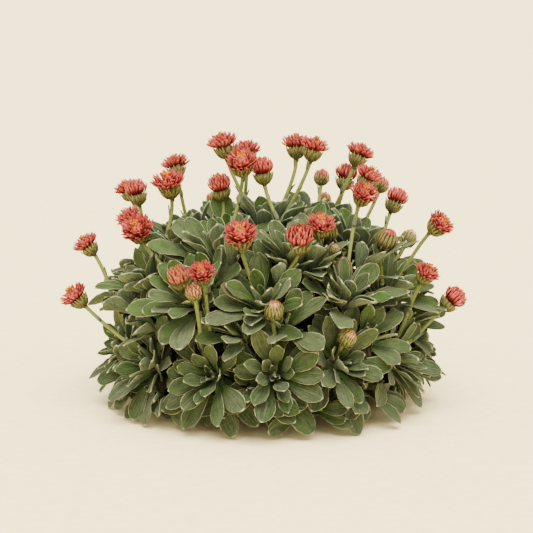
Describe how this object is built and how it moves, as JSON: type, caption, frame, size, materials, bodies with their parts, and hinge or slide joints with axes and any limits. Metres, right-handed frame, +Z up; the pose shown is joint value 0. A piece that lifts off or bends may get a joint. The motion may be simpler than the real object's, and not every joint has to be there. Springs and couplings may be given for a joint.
{
  "type": "potted pussytoes",
  "caption": "Mound of woolly grey-green leaf rosettes over a low pan of soil, with small coral-red flower heads and pale buds held above it on thin stems",
  "frame": {"origin": "the middle of the pan's flat base, on the surface that it stands on", "axes": "+Z is up, -Y faces the viewer of the picture, +X is to that viewer's right"},
  "size_m": [0.2203, 0.1981, 0.15],
  "materials": {
    "pan_clay": "matte",
    "soil": "matte",
    "foliage": "matte",
    "florets": "matte"
  },
  "bodies": {
    "root": {"pot": "pan_clay", "soil": "soil", "rosette_01": "foliage", "rosette_02": "foliage", "rosette_03": "foliage", "rosette_04": "foliage", "rosette_05": "foliage", "rosette_06": "foliage", "rosette_07": "foliage", "rosette_08": "foliage", "rosette_09": "foliage", "rosette_10": "foliage", "rosette_11": "foliage", "rosette_12": "foliage", "rosette_13": "foliage", "rosette_14": "foliage", "rosette_15": "foliage", "rosette_16": "foliage", "rosette_17": "foliage", "rosette_18": "foliage", "rosette_19": "foliage", "rosette_20": "foliage", "rosette_21": "foliage", "rosette_22": "foliage", "rosette_23": "foliage", "rosette_24": "foliage", "rosette_25": "foliage", "rosette_26": "foliage", "rosette_27": "foliage", "rosette_28": "foliage", "rosette_29": "foliage", "rosette_30": "foliage", "florets_01": "florets", "florets_02": "florets", "florets_03": "florets", "florets_04": "florets", "florets_05": "florets", "florets_06": "florets", "florets_07": "florets", "florets_08": "florets", "florets_09": "florets", "florets_10": "florets", "florets_11": "florets", "florets_12": "florets", "florets_13": "florets", "florets_14": "florets", "florets_15": "florets", "florets_16": "florets", "florets_17": "florets", "florets_18": "florets", "florets_19": "florets", "florets_20": "florets", "florets_21": "florets", "florets_22": "florets", "florets_23": "florets", "florets_24": "florets", "florets_25": "florets", "florets_26": "florets", "florets_27": "florets", "florets_28": "florets"}
  },
  "joints": []
}
